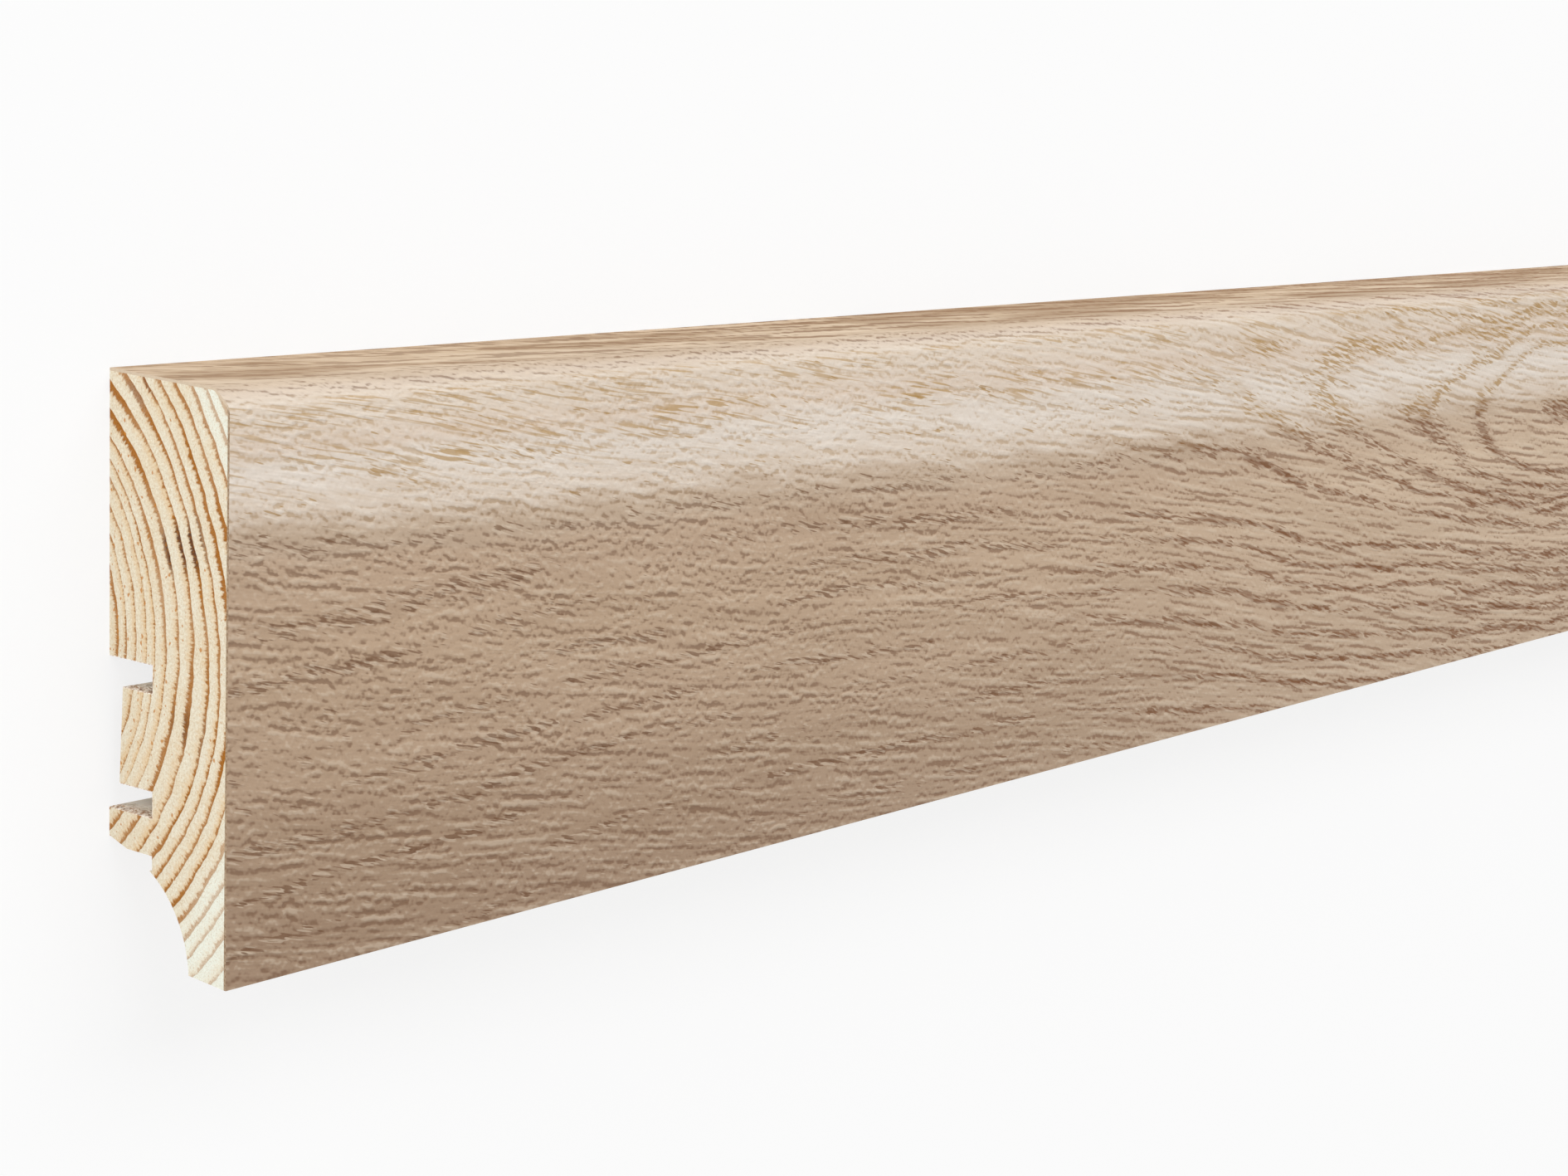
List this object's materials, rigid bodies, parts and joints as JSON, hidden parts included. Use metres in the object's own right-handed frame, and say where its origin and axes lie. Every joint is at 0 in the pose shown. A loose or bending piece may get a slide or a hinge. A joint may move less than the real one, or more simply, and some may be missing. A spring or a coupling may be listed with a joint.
{
  "type": "skirting board length",
  "caption": "Straight length of skirting board: oak-veneered softwood with an eased top corner, clip grooves and a cove milled in its back.",
  "frame": {"origin": "middle of the underside: on the wall face's plane, halfway along the length and halfway up the board's height", "axes": "+X along the board, to the right as it is looked at on the wall; +Y up the board's height, to its top edge; +Z out of the oak face, up while the board lies on its back"},
  "size_m": [2.2, 0.06, 0.018],
  "materials": {
    "softwood": "planed and milled softwood, bare, growth rings on the cut ends",
    "oak": "sliced oak veneer, matt lacquer, open pores"
  },
  "bodies": {
    "root": {"softwood_core": "softwood", "oak_veneer": "oak"}
  },
  "joints": []
}
